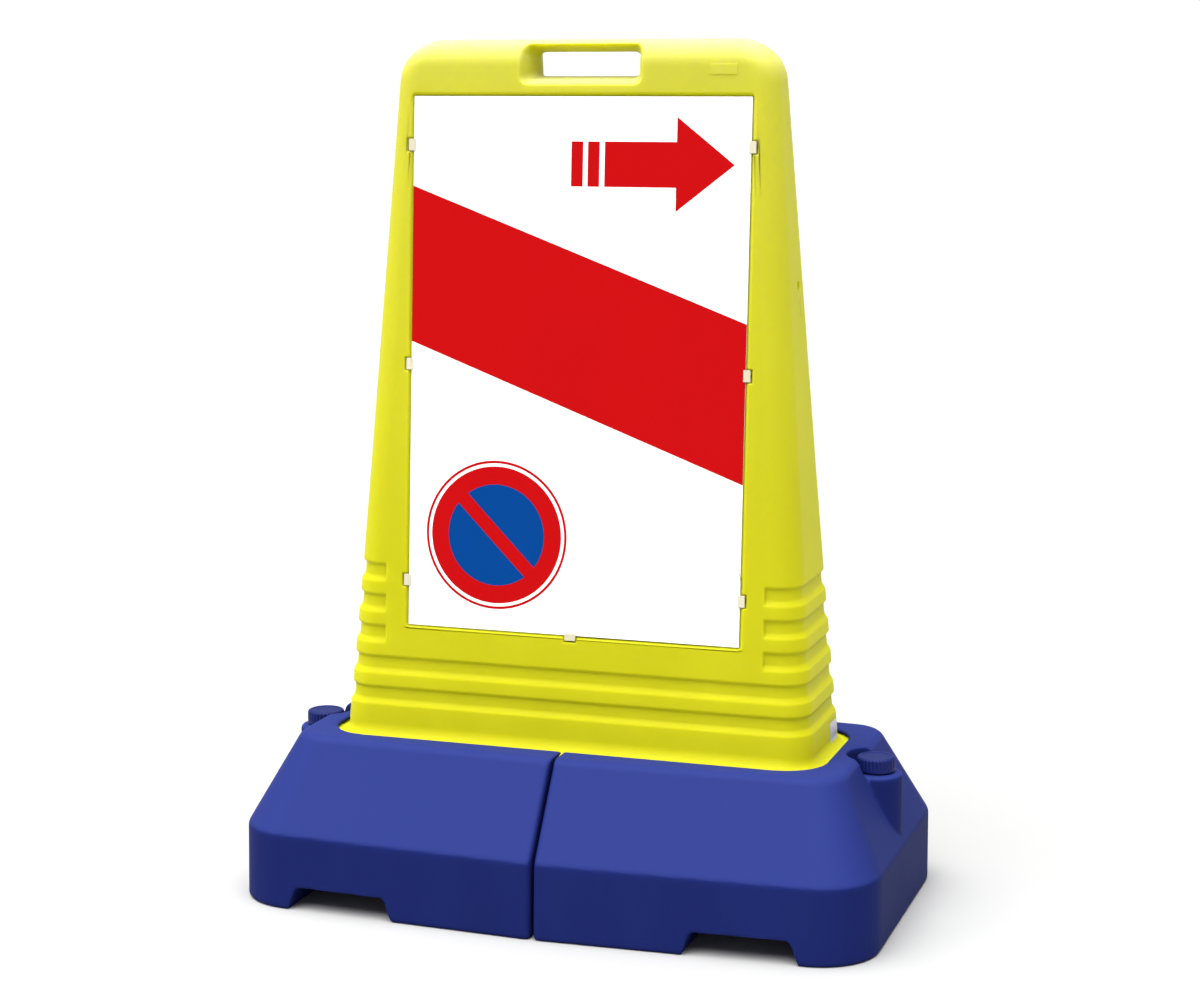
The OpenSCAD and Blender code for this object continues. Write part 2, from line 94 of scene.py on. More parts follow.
# The printed signs, across and up from the middle of the panel's lower edge
ROUNDEL = (-103.9, 124.8)
RING_OUT, RING_IN, RED_R, BLUE_R, SLASH_HALF, SLASH_TURN = 96.9, 93.5, 89.3, 66.0, 9.1, 135.0
BAND = ((-225.0, 573.4), (-225.0, 372.7), (225.0, 205.8), (225.0, 407.3))
ARROW = ((34.5, 631.7), (129.0, 631.7), (129.0, 662.8), (204.4, 603.8), (129.0, 544.8),
         (129.0, 575.0), (34.5, 575.0))
FILM_STEP = 0.05
TAILS = (((12.1, 575.0), (27.6, 575.0), (27.6, 631.6), (12.1, 631.6)),
         ((-9.9, 575.0), (5.7, 575.0), (5.7, 631.6), (-9.9, 631.6)))

# The tower's flanks, as heights and half widths, running on above the panel as below it
LEAN = math.tan(math.radians(FACE_LEAN))
FLANK_LEAN = (FLANK_HALF_W - PANEL_TOP_HALF_W) / (PANEL_TOP - FLANK_Z)
WIDTHS = ((FLANGE_TOP, SKIRT_HALF_W), (224.0, 319.9), (440.0, 301.2), (FLANK_Z, FLANK_HALF_W),
          (PANEL_TOP, PANEL_TOP_HALF_W),
          (TOWER_TOP, PANEL_TOP_HALF_W - (TOWER_TOP - PANEL_TOP) * FLANK_LEAN))


# Tools for shaping
def read_off(z, table):
    """The value at z in a table of heights and values."""
    if z <= table[0][0]:
        return table[0][1]
    for (z0, v0), (z1, v1) in zip(table, table[1:]):
        if z <= z1:
            return v0 + (v1 - v0) * (z - z0) / (z1 - z0)
    return table[-1][1]


def put_down():
    """Leave edit mode with nothing selected."""
    if bpy.context.mode != "OBJECT":
        bpy.ops.object.mode_set(mode="OBJECT")
    bpy.ops.object.select_all(action="DESELECT")


def take_up(piece):
    """Make one piece the active one and nothing else selected."""
    put_down()
    piece.select_set(True)
    bpy.context.view_layer.objects.active = piece


def open_mesh(piece):
    """Go into a piece's edit mode with nothing of it selected."""
    take_up(piece)
    bpy.ops.object.mode_set(mode="EDIT")
    bpy.ops.mesh.select_all(action="DESELECT")
    return bmesh.from_edit_mesh(piece.data)


def select_faces(piece, wanted):
    """In edit mode, select the faces whose middle and normal are wanted."""
    bpy.ops.mesh.select_mode(type="FACE")
    bpy.ops.mesh.select_all(action="DESELECT")
    mesh = bmesh.from_edit_mesh(piece.data)
    for face in mesh.faces:
        if wanted(face.calc_center_median() / MM, face.normal):
            face.select_set(True)
    bmesh.update_edit_mesh(piece.data)


def lay_outline(name, outline):
    """Lay down a disc with a corner for each point and pull it into the outline."""
    put_down()
    bpy.ops.mesh.primitive_circle_add(vertices=len(outline), radius=0.1, fill_type="NGON",
                                      enter_editmode=True)
    piece = bpy.context.object
    piece.name = piece.data.name = name
    mesh = bmesh.from_edit_mesh(piece.data)
    mesh.verts.ensure_lookup_table()
    for corner, place in zip(mesh.verts, outline):
        corner.co = Vector(place) * MM
    bmesh.update_edit_mesh(piece.data)
    return piece


def draw_out(piece, before, after):
    """Extrude what is selected and set each new corner on the next outline."""
    bpy.ops.mesh.extrude_region_move()
    mesh = bmesh.from_edit_mesh(piece.data)
    near = kdtree.KDTree(len(before))
    for index, place in enumerate(before):
        near.insert(Vector(place) * MM, index)
    near.balance()
    for corner in mesh.verts:
        if corner.select:
            corner.co = Vector(after[near.find(corner.co)[1]]) * MM
    bmesh.update_edit_mesh(piece.data)


def raise_piece(name, outlines):
    """Build a closed form by extruding a first outline through all the others."""
    piece = lay_outline(name, outlines[0])
    for before, after in zip(outlines, outlines[1:]):
        draw_out(piece, before, after)
    bpy.ops.mesh.select_all(action="SELECT")
    bpy.ops.mesh.normals_make_consistent(inside=False)
    put_down()
    return piece


def turned(name, profile, steps=72):
    """Spin a profile of radius and height about the filler's upright axis."""
    return raise_piece(name, [[(x, y, z) for x, y in round_line((CAP_X, 0.0), r, steps)]
                              for r, z in profile])


def use(piece, kind, **settings):
    """Add a modifier to a piece and apply it."""
    take_up(piece)
    bpy.ops.object.modifier_add(type=kind)
    modifier = piece.modifiers[-1]
    for key, value in settings.items():
        setattr(modifier, key, value)
    bpy.ops.object.modifier_apply(modifier=modifier.name)


def cut(piece, cutter, how="DIFFERENCE"):
    """Cut a piece with another one, or weld them together, and clear the other away."""
    use(piece, "BOOLEAN", operation=how, object=cutter, solver="EXACT")
    bpy.data.objects.remove(cutter, do_unlink=True)


def soften(piece, width, angle=32.0, segments=3):
    """Weld the stray points of a piece and round off its creases."""
    take_up(piece)
    bpy.ops.object.mode_set(mode="EDIT")
    bpy.ops.mesh.select_all(action="SELECT")
    bpy.ops.mesh.remove_doubles(threshold=0.00008)
    bpy.ops.mesh.dissolve_degenerate(threshold=0.00008)
    put_down()
    use(piece, "BEVEL", width=width * MM, segments=segments, limit_method="ANGLE",
        angle_limit=math.radians(angle), use_clamp_overlap=False, miter_outer="MITER_ARC",
        harden_normals=False)


def shade(piece, angle=40.0):
    """Shade a piece smooth, apart from creases sharper than the angle."""
    take_up(piece)
    bpy.ops.object.shade_smooth_by_angle(angle=math.radians(angle))
    use(piece, "WEIGHTED_NORMAL", keep_sharp=True, weight=60)


def join(pieces, name):
    """Join pieces into the first one and name it."""
    put_down()
    for piece in pieces:
        piece.select_set(True)
    bpy.context.view_layer.objects.active = pieces[0]
    bpy.ops.object.join()
    pieces[0].name = pieces[0].data.name = name
    put_down()
    return pieces[0]


def copy_of(piece, name):
    twin = piece.copy()
    twin.data = piece.data.copy()
    twin.name = twin.data.name = name
    bpy.context.collection.objects.link(twin)
    return twin


def settle(piece):
    """Put a piece's place into its mesh, so its object stands at the origin."""
    take_up(piece)
    bpy.ops.object.transform_apply(location=True, rotation=True, scale=True)
    put_down()


def mirrored(piece, name):
    """A copy of a piece on the other side of the sign."""
    twin = copy_of(piece, name)
    twin.scale.x = -1.0
    settle(twin)
    take_up(twin)
    bpy.ops.object.mode_set(mode="EDIT")
    bpy.ops.mesh.select_all(action="SELECT")
    bpy.ops.mesh.normals_make_consistent(inside=False)
    put_down()
    return twin


def round_line(middle, r, steps=128):
    """Points of a circle about a middle."""
    return [(middle[0] + r * math.cos(2 * math.pi * i / steps),
             middle[1] + r * math.sin(2 * math.pi * i / steps)) for i in range(steps)]


def arc(cx, cy, r, start, steps, sweep=90.0):
    """Points of an arc about a middle, from a start angle on, anticlockwise."""
    return [(cx + r * math.cos(math.radians(start + sweep * i / steps)),
             cy + r * math.sin(math.radians(start + sweep * i / steps))) for i in range(steps + 1)]


# The tower
def tower_half_w(z):
    return read_off(z, WIDTHS)


def tower_half_d(z):
    return TOP_HALF_D + (PANEL_TOP - z) * LEAN


def tower_corner_r(z):
    return read_off(z, ((254.0, SKIRT_CORNER_R), (TOWER_TOP - SHOULDER_R, TOP_CORNER_R)))


def groove_depth(z):
    """How deep the grooves lie at a height, and whether they stop beside the panel."""
    for count in range(GROOVE_COUNT):
        top = GROOVE_TOP - GROOVE_PITCH * count
        if top + OVERRUN > z > top - GROOVE_H - OVERRUN:
            deep = 0.0
            for shift in GROOVE_BLUR:
                deep += read_off(top - z + shift, GROOVE_SHARES) / len(GROOVE_BLUR)
            return GROOVE_D * deep, count < SHORT_GROOVES
    return 0.0, False


def tower_outline(z, w, d, r, sink=0.0, short=False):
    """The tower's outline at a height, drawn in by sink, on the short grooves only
    outside their inner ends."""
    w, d, r = w - sink, d - sink, max(r - sink, 1.0)
    back = []
    for n, (shift, share) in enumerate(GROOVE_END_STEPS):
        x = min(GROOVE_END_X + shift, w - r - 2.2 + 0.4 * n)
        back.insert(0, (x, d + (sink * share if short else 0.0)))
    front = [(-x, -y) for x, y in back]
    points = (arc(w - r, d - r, r, 0, 9) + back + [(-x, y) for x, y in reversed(back)]
              + arc(r - w, d - r, r, 90, 9) + arc(r - w, r - d, r, 180, 9)
              + front + [(-x, y) for x, y in reversed(front)] + arc(w - r, r - d, r, 270, 9))
    return [(x, y, z) for x, y in points]


def tower_ring(z, out=0.0, sink=0.0, short=False):
    """The tower's outline at a height, grown by out and drawn in by sink."""
    return tower_outline(z, tower_half_w(z) + out, tower_half_d(z) + out,
                         tower_corner_r(z) + out, sink, short)


def tower_outlines():
    # The foot flange with its rounded rim and the flare up to the skirt
    outlines = [tower_ring(z, out) for out, z in FLANGE_RINGS]
    for step in range(11):
        turn = math.radians(90.0 * step / 10)
        outlines.append(tower_ring(FLANGE_TOP + FLARE_R * (1 - math.cos(turn)),
                                   FLARE_R * (1 - math.sin(turn))))
    # The grooves, each through its rounded steps, and the plain flanks above them
    for count in reversed(range(GROOVE_COUNT)):
        for drop in GROOVE_DROPS:
            z = GROOVE_TOP - GROOVE_PITCH * count - drop
            outlines.append(tower_ring(z, 0.0, *groove_depth(z)))
    outlines += [tower_ring(z) for z in (FLANK_Z, 760.0, 920.0)]
    # The crown: the shoulders round off sideways while the faces roll over the top
    for step in range(19):
        turn = math.radians(90.0 * step / 18)
        z = TOWER_TOP - SHOULDER_R + SHOULDER_R * math.sin(turn)
        w = tower_half_w(z) - SHOULDER_R + SHOULDER_R * math.cos(turn)
        d = crown_half_d(z)
        outlines.append(tower_outline(z, w, d, min(tower_corner_r(z), d - 0.3)))
    return outlines


def crown_half_d(z):
    """Half depth of the tower where its faces roll over the top."""
    over_roll = max(0.0, z - (TOWER_TOP - ROLL_R))
    return tower_half_d(z) - ROLL_R + math.sqrt(max(0.0, ROLL_R ** 2 - over_roll ** 2))


def on_face(x, depth, up, back=False):
    """A place on the front face: across, into the tower and up along the face."""
    lean = math.radians(FACE_LEAN)
    y = -tower_half_d(PANEL_Z) + depth * math.cos(lean) + up * math.sin(lean)
    z = PANEL_Z - depth * math.sin(lean) + up * math.cos(lean)
    return (-x, -y, z) if back else (x, y, z)


def face_block(name, rings, back=False):
    """A block through rectangles on the face, each given as depth, left, right,
    bottom, top and corner radius."""
    outlines = []
    for depth, left, right, low, high, r in rings:
        flat = (arc(right - r, high - r, r, 0, 4) + arc(left + r, high - r, r, 90, 4)
                + arc(left + r, low + r, r, 180, 4) + arc(right - r, low + r, r, 270, 4))
        outlines.append([on_face(x, depth, up, back) for x, up in flat])
    return raise_piece(name, outlines)


def clip_places():
    """Each clip's side of the panel: across, up, and which way is outwards."""
    for up in CLIP_ROWS:
        yield PANEL_W / 2, up, (1, 0)
        yield -PANEL_W / 2, up, (-1, 0)
    yield 0.0, 0.0, (0, -1)


def beside_panel(place, near, far, half):
    """A rectangle at a clip's place, that starts near to the panel's edge and ends far
    from it, and half as wide as half says to each side."""
    x, up, (out_x, out_up) = place
    if out_x:
        left, right = sorted((x + out_x * near, x + out_x * far))
        return left, right, up - half, up + half
    return x - half, x + half, up - far, up - near


def at_stud(place, half):
    """A square about a clip's stud."""
    x, up, (out_x, out_up) = place
    x, up = x + out_x * STUD_OUT, up + out_up * STUD_OUT
    return x - half, x + half, up - half, up + half


def cut_recesses(tower):
    """The framed recess for the panel, with its notches and stud holes, on both faces."""
    flare = RECESS_DRAFT * (RECESS_D + OVERRUN) / RECESS_D
    for back in (False, True):
        rings = []
        for depth, more in ((-OVERRUN, flare), (RECESS_D, 0.0)):
            g = RECESS_GAP + more
            rings.append((depth, -PANEL_W / 2 - g, PANEL_W / 2 + g, -g, PANEL_H + g,
                          RECESS_CORNER_R + more))
        cut(tower, face_block("recess", rings, back))
        for place in clip_places():
            notch = (*beside_panel(place, -NOTCH_IN, NOTCH_REACH, NOTCH_L / 2), 1.0)
            cut(tower, face_block("notch", [(-OVERRUN, *notch), (NOTCH_FLOOR, *notch)], back))
            hole = (*at_stud(place, STUD_HOLE_R), STUD_HOLE_R - 0.05)
            cut(tower, face_block("stud_hole", [(NOTCH_FLOOR - 2.0, *hole),
                                                (RECESS_D + 9.0, *hole)], back))


def cut_blow_hole(tower):
    """The hole in the right side through which the tower was blown, and its groove."""
    x = tower_half_w(BLOW_Z)
    hole = [[(across, BLOW_Y + BLOW_R * math.cos(t), BLOW_Z + BLOW_R * math.sin(t))
             for t in [2 * math.pi * i / 28 for i in range(28)]]
            for across in (x - 16.0, x + 6.0)]
    cut(tower, raise_piece("blow_hole", hole))
    rings = []
    vent_top = BLOW_Z - 4.0
    for z in (vent_top - VENT_L, vent_top):
        w = tower_half_w(z)
        rings.append([(w - 1.7, BLOW_Y + 1.2, z), (w + 3.0, BLOW_Y + 1.6, z),
                      (w + 3.0, BLOW_Y - 1.6, z), (w - 1.7, BLOW_Y - 1.2, z)])
    cut(tower, raise_piece("vent", rings))


def rim_point(x, z):
    """Where a point of the hand hole's outer rim leads to at the pinch."""
    r = HOLE_CORNER_R
    side, low, high = RIM_HALF_W - RIM_CORNER_R, RIM_LOW + RIM_CORNER_R, RIM_TOP - RIM_CORNER_R
    hole_side, hole_low, hole_high = HOLE_HALF_W - r, HOLE_Z - HOLE_HALF_H + r, HOLE_Z + HOLE_HALF_H - r
    core_x, core_z = max(-side, min(side, x)), max(low, min(high, z))
    out_x, out_z = x - core_x, z - core_z
    size = math.hypot(out_x, out_z) or 1.0
    out_x, out_z = out_x / size, out_z / size
    pinch_x = core_x / side * hole_side
    pinch_z = hole_low + (core_z - low) / (high - low) * (hole_high - hole_low)
    return (pinch_x + out_x * r, pinch_z + out_z * r), (out_x, out_z)


def rolled_rim(start, side):
    """The four points of the curve that rolls from a point of the rim to the pinch: it
    leaves along the face and comes in square to the middle, tighter at the upper edge."""
    (pinch_x, pinch_z), (out_x, out_z) = rim_point(start.x, start.z)
    slope = (crown_half_d(start.z + 0.05) - crown_half_d(start.z - 0.05)) / 0.1
    inward = Vector((-out_x, side * slope * -out_z, -out_z)).normalized()
    upper = max(0.0, out_z)
    end = Vector((pinch_x, 0.0, pinch_z))
    leave = start + inward * (RIM_LEAVE + 4.0 * upper)
    arrive = end + Vector((out_x * RIM_SPREAD, side * (RIM_ARRIVE - 8.0 * upper),
                           out_z * RIM_SPREAD))
    return start, leave, arrive, end


def open_hand_hole(tower):
    """Cut the hand hole through and roll its rim from each face down to the pinch."""
    r, w, low, high = RIM_CORNER_R, RIM_HALF_W, RIM_LOW, RIM_TOP
    flat = (arc(w - r, high - r, r, 0, 8) + arc(r - w, high - r, r, 90, 8)
            + arc(r - w, low + r, r, 180, 8) + arc(w - r, low + r, r, 270, 8))
    cut(tower, raise_piece("hand_hole", [[(x, y, z) for x, z in flat]
                                         for y in (TOWER_CUT, -TOWER_CUT)]))
    open_mesh(tower)
    select_faces(tower, lambda c, n: abs(n.y) < 0.02 and abs(c.x) < w + 0.5
                 and low - 0.5 < c.z < high + 0.5 and abs(c.y) < TOP_HALF_D + OVERRUN)
    bpy.ops.mesh.delete(type="FACE")
    for side in (-1, 1):
        mesh = open_mesh(tower)
        bpy.ops.mesh.select_mode(type="EDGE")
        rim = []
        for edge in mesh.edges:
            middle = (edge.verts[0].co + edge.verts[1].co) / 2 / MM
            if edge.is_boundary and middle.y * side > 0.5:
                edge.select_set(True)
                rim.extend(edge.verts)
        last = [tuple(v.co / MM) for v in set(rim)]
        bmesh.update_edit_mesh(tower.data)
        curves = [rolled_rim(Vector(place), side) for place in last]
        steps = 12
        for step in range(1, steps + 1):
            t = step / steps
            here = [tuple(p * (1 - t) ** 3 + a * 3 * t * (1 - t) ** 2 + b * 3 * t * t * (1 - t)
                          + q * t ** 3) for p, a, b, q in curves]
            draw_out(tower, last, here)
            last = here
        put_down()
    open_mesh(tower)
    bpy.ops.mesh.select_all(action="SELECT")
    bpy.ops.mesh.remove_doubles(threshold=0.00002)
    bpy.ops.mesh.normals_make_consistent(inside=False)
    put_down()


def make_badge():
    """The bare plate top right of the front, with a raised frame round a sunk field."""
    left, right, low, high = BADGE
    soft = 0.3
    badge = face_block("bare_badge", [
        (2.0, *BADGE, 1.5), (-0.7, *BADGE, 1.5),
        (-0.9, left + soft, right - soft, low + soft, high - soft, 1.5 - soft)])
    open_mesh(badge)
    select_faces(badge, lambda c, n: n.y < -0.9 and c.y < -45.0)
    bpy.ops.mesh.inset(thickness=1.3 * MM, depth=0.0)
    bpy.ops.mesh.inset(thickness=0.3 * MM, depth=-0.7 * MM)
    put_down()
    return badge


def make_tower():
    tower = raise_piece("tower", tower_outlines())
    cut_recesses(tower)
    cut_blow_hole(tower)
    soften(tower, 1.6, 36.0)
    cut(tower, make_badge(), "UNION")
    open_hand_hole(tower)
    return tower


def make_label():
    """The bare sticker low on the right side, laid round the skirt's rear corner."""
    steps = 12
    rings = []
    for step in range(steps + 1):
        z = LABEL_LOW + (LABEL_HIGH - LABEL_LOW) * step / steps
        turn = math.acos(max(0.0, 1 - (z - FLANGE_TOP) / FLARE_R))
        out = FLARE_R * (1 - math.sin(turn))
        w, d, r = tower_half_w(z) + out, tower_half_d(z) + out, tower_corner_r(z) + out
        line = []
        for along in range(steps + 1):
            y = LABEL_NEAR + (LABEL_FAR - LABEL_NEAR) * along / steps
            over = max(0.0, y - (d - r))
            line.append((w - r + math.sqrt(r * r - over * over), y))
        rings.append([(x - 0.5, y, z) for x, y in line]
                     + [(x + 0.15, y, z) for x, y in reversed(line)])
    return raise_piece("bare_label", rings)


# The tanks
def tank_outline(z, end_x, half_d, corner_r, sink=0.0):
    """A tank's outline at a height: a small radius at the joint, a large one at the end,
    and sides that come together a little towards the end."""
    near, far = TANK_GAP / 2 + sink, end_x - sink
    r_far, r_near = max(corner_r - sink, 4.0), max(JOINT_R - sink, 1.5)
    d_far = half_d - sink - (far - r_far) * SIDE_TAPER
    d_near = half_d - sink - near * SIDE_TAPER
    points = (arc(far - r_far, d_far - r_far, r_far, 0, 12)
              + arc(near + r_near, d_near - r_near, r_near, 90, 5)
              + arc(near + r_near, r_near - d_near, r_near, 180, 5)
              + arc(far - r_far, r_far - d_far, r_far, 270, 12))
    return [(x, y, z) for x, y in points]


def tank_sizes(z):
    """A tank's end, half depth and corner radius at a height."""
    return (read_off(z, ((SHOULDER_Z, TANK_END_X), (DECK_Z, DECK_END_X))),
            read_off(z, ((0.0, BASE_HALF_D), (SHOULDER_Z, SHOULDER_HALF_D), (DECK_Z, DECK_HALF_D))),
            read_off(z, ((SHOULDER_Z, CORNER_R), (DECK_Z, DECK_CORNER_R))))


def tank_outlines():
    """The upright wall, the soft shoulder above it and the rounded edge of the deck."""
    outlines = [tank_outline(z, *tank_sizes(z), sink) for z, sink in WALL_RINGS + SHOULDER_RINGS]
    slope = math.degrees(math.atan((SHOULDER_HALF_D - DECK_HALF_D) / (DECK_Z - SHOULDER_Z)))
    turn = 90.0 - slope
    back = DECK_EDGE_R * math.tan(math.radians(turn / 2))
    for step in range(10):
        a = math.radians(slope + turn * step / 9)
        out = DECK_EDGE_R * math.cos(a) - back
        z = DECK_Z - DECK_EDGE_R + DECK_EDGE_R * math.sin(a)
        outlines.append(tank_outline(z, DECK_END_X + out, DECK_HALF_D + out,
                                     DECK_CORNER_R + out))
    return outlines


def foot_outline(z, out):
    """The outline of the skirt's foot, grown by out, at a height."""
    return tower_outline(z, SKIRT_HALF_W + out, tower_half_d(FLANGE_TOP) + out,
                         SKIRT_CORNER_R + out)


def channel_outlines():
    """The channel under a tank, as outlines across it, with soft roof corners."""
    flare = CHANNEL_LEAN * OVERRUN / CHANNEL_H
    lean = math.degrees(math.atan(CHANNEL_LEAN / CHANNEL_H))
    back = CHANNEL_R * math.tan(math.radians((90 - lean) / 2))
    flat = [(CHANNEL_IN - flare, -OVERRUN)]
    for x, start in ((CHANNEL_IN + CHANNEL_LEAN + back, 90), (CHANNEL_OUT - CHANNEL_LEAN - back, lean)):
        flat += reversed(arc(x, CHANNEL_H - CHANNEL_R, CHANNEL_R, start, 6, 90 - lean))
    flat += [(CHANNEL_OUT + flare, -OVERRUN)]
    return [[(x, y, z) for x, z in flat] for y in (TANK_CUT, -TANK_CUT)]


def make_tank():
    """The tank on the +X side: its form, boss, pocket, slot and channel, then one skin
    drawn over all of them, soft in every crease as a blown tank is."""
    tank = raise_piece("right_base_tank", tank_outlines())
    cut(tank, turned("boss", ((BOSS_R, 70.0), (BOSS_R, BOSS_Z - 5.0), (BOSS_R - 1.5, BOSS_Z - 1.5),
                              (BOSS_R - 5.0, BOSS_Z)), 96), "UNION")
    cut(tank, turned("pocket", ((POCKET_R, BOSS_Z - 0.1), (POCKET_R, DECK_Z - 5.0),
                                (POCKET_R + 0.8, DECK_Z - 1.2), (POCKET_R + 3.0, DECK_Z + 0.6),
                                (POCKET_R + 7.0, DECK_Z + 6.0)), 96))
    cut(tank, raise_piece("slot", [foot_outline(z, 27.5) for z in (FOOT_Z - 0.3, DECK_Z - 6.0)]))
    cut(tank, raise_piece("mouth", [foot_outline(z, 18.5) for z in (FOOT_Z + 2.0, DECK_Z + 8.0)]))
    cut(tank, raise_piece("channel", channel_outlines()))
    use(tank, "REMESH", mode="VOXEL", voxel_size=2.2 * MM, adaptivity=0.0, use_smooth_shade=True)
    use(tank, "SMOOTH", factor=0.5, iterations=3)
    cut(tank, turned("bore", ((BORE_R, 130.0), (BORE_R, BOSS_Z + NECK_H + 5.0))))
    use(tank, "DECIMATE", decimate_type="COLLAPSE", ratio=0.3)
    return tank


def make_neck():
    """The filler neck that stands on the boss, open through its middle."""
    foot, top = BOSS_Z - 3.0, BOSS_Z + NECK_H
    neck = turned("neck", ((NECK_R + 1.4, foot), (NECK_R + 1.4, BOSS_Z - 0.4),
                           (NECK_R + 0.4, BOSS_Z + 0.4), (NECK_R, BOSS_Z + 1.4),
                           (NECK_R, top - 1.2), (NECK_R - 0.4, top - 0.3), (NECK_R - 1.2, top),
                           (BORE_R + 0.8, top), (BORE_R + 0.2, top - 0.3), (BORE_R, top - 1.0),
                           (BORE_R, foot)))
    open_mesh(neck)
    select_faces(neck, lambda c, n: abs(n.z) > 0.99 and c.z < foot + 1.0)
    bpy.ops.mesh.delete(type="FACE")
    put_down()
    return neck


def neck_thread():
    """The raised thread on a filler neck, nearly three turns of it."""
    put_down()
    bpy.ops.mesh.primitive_circle_add(vertices=6, radius=THREAD_R * MM, enter_editmode=True,
                                      rotation=(math.pi / 2, 0, 0))
    piece = bpy.context.object
    piece.name = piece.data.name = "thread"
    bpy.ops.transform.resize(value=(0.62, 1.0, 1.0))
    put_down()
    piece.location = ((NECK_R - 0.05) * MM, 0, (BOSS_Z + 1.6) * MM)
    settle(piece)
    use(piece, "SCREW", angle=math.radians(THREAD_TURN),
        screw_offset=THREAD_PITCH * MM * THREAD_TURN / 360, steps=150, render_steps=150,
        iterations=1, use_merge_vertices=True, use_smooth_shade=True)
    piece.location.x = CAP_X * MM
    settle(piece)
    return piece


# Caps and seals
# A cap's rings from its foot up and over its top: height, radius and depth of its grooves,
# and one groove from ridge to ridge: place along the pitch and share of the depth
CAP_RINGS = ((0.0, 24.3, 0.0), (0.25, 24.8, 0.0), (0.8, 25.0, 0.0), (3.4, 25.0, 0.0),
             (3.9, 24.9, 0.2), (4.4, 25.2, 1.0), (14.6, 25.0, 1.0), (15.8, 24.7, 1.0),
             (16.8, 24.1, 0.85), (17.5, 23.2, 0.6), (17.9, 22.0, 0.3), (18.0, 20.6, 0.0),
             (17.95, 19.6, 0.0), (17.5, 19.0, 0.0), (17.3, 18.2, 0.0), (17.3, 6.0, 0.0))
GRIP_SHARES = ((0.0, 0.0), (0.16, 0.02), (0.3, 0.3), (0.4, 0.78), (0.5, 1.0), (0.6, 0.78),
               (0.7, 0.3), (0.84, 0.02))


def ridged(z, r, depth):
    """A cap's outline at a height, with a groove between each two ridges."""
    points = []
    for tooth in range(GRIP_COUNT):
        for along, share in GRIP_SHARES:
            turn = 2 * math.pi * (tooth + along) / GRIP_COUNT
            reach = r - depth * share
            points.append((CAP_X + reach * math.cos(turn), reach * math.sin(turn), z))
    return points


def make_cap():
    cap = raise_piece("right_screw_cap_piece", [ridged(CAP_Z + up, r, depth)
                                                for up, r, depth in CAP_RINGS])
    roof = BOSS_Z + NECK_H + SEAL_GAP + SEAL_T + SEAL_GAP
    cut(cap, turned("cap_bore", ((CAP_BORE_R, CAP_Z - 2.0), (CAP_BORE_R, roof))))
    return cap


def make_seal():
    low = BOSS_Z + NECK_H + SEAL_GAP
    high = low + SEAL_T
    return turned("right_seal_piece", ((SEAL_R - 0.6, low), (SEAL_R - 0.1, low + 0.3),
                                       (SEAL_R, low + SEAL_T / 2),
                                       (SEAL_R - 0.1, high - 0.3), (SEAL_R - 0.6, high)))


# Panel, print and clips
def make_panel():
    half = PANEL_W / 2
    rings = [(PANEL_FACE + PANEL_T, 0.25), (PANEL_FACE + PANEL_T - 0.2, 0.0),
             (PANEL_FACE + 0.25, 0.0), (PANEL_FACE, 0.25)]
    return face_block("panel", [(depth, -half + e, half - e, e, PANEL_H - e, 1.0 - e)
                                for depth, e in rings])


def film(name, outline, layer=1):
    """A printed film: a flat outline on the panel, drawn up a little more for each layer."""
    sunk = PANEL_FACE + FILM_STEP
    return raise_piece(name, [[on_face(x, depth, up) for x, up in outline]
                              for depth in (sunk, sunk - 0.06 - FILM_STEP * layer)])


def ring_film(name, middle, outer, inner, layer):
    """A printed ring, cut from a disc."""
    piece = film(name, round_line(middle, outer), layer)
    rings = [[on_face(x, PANEL_FACE + depth, up) for x, up in round_line(middle, inner)]
             for depth in (1.5, -1.5)]
    cut(piece, raise_piece("ring_hole", rings))
    return piece


def make_print():
    """The red band, arrow and roundel of the panel, and the blue field of the roundel."""
    red = [film("band", BAND), film("arrow", ARROW), film("tail_0", TAILS[0]),
           film("tail_1", TAILS[1]), ring_film("outer_ring", ROUNDEL, RING_OUT, RING_IN, 1),
           film("red_disc", round_line(ROUNDEL, RED_R), 1)]
    field = film("blue_field", round_line(ROUNDEL, BLUE_R), 2)
    t = math.radians(SLASH_TURN)
    along, over = Vector((math.cos(t), math.sin(t))), Vector((-math.sin(t), math.cos(t)))
    reach = BLUE_R + 2.0
    bar = [Vector(ROUNDEL) + along * a + over * b
           for a, b in ((-reach, -SLASH_HALF), (reach, -SLASH_HALF),
                        (reach, SLASH_HALF), (-reach, SLASH_HALF))]
    red.append(film("slash", [(p.x, p.y) for p in bar], 3))
    return join(red, "red_print"), field


def make_clips():
    """Seven clips: a block in the notch, a lip over the panel's edge and a stud behind."""
    clips = []
    lip = PANEL_FACE - 0.3 - LIP_T
    for place in clip_places():
        core = (*beside_panel(place, CLIP_NEAR, CLIP_FAR, CLIP_HALF_L), 0.8)
        over = (*beside_panel(place, -LIP_IN, LIP_OUT, CLIP_HALF_L), 0.8)
        block = face_block("clip_block", [(NOTCH_FLOOR - 0.2, *core), (lip, *core)])
        cut(block, face_block("clip_lip", [(lip + LIP_T, *over), (lip + 0.001, *over)]), "UNION")
        soften(block, 0.4, 40.0, 2)
        tip = (*at_stud(place, STUD_TIP_R), STUD_TIP_R - 0.05)
        stem = (*at_stud(place, STUD_R), STUD_R - 0.05)
        clips += [block, face_block("clip_stud", [(RECESS_D + 8.4, *tip), (RECESS_D + 7.4, *stem),
                                                  (NOTCH_FLOOR - 0.5, *stem)])]
    return join(clips, "clips")


# Finishes
def socket(group, name, kind, way, value=None):
    """Give a node group a socket, with a value to start from."""
    made = group.interface.new_socket(name=name, in_out=way, socket_type=kind)
    if value is not None:
        made.default_value = value


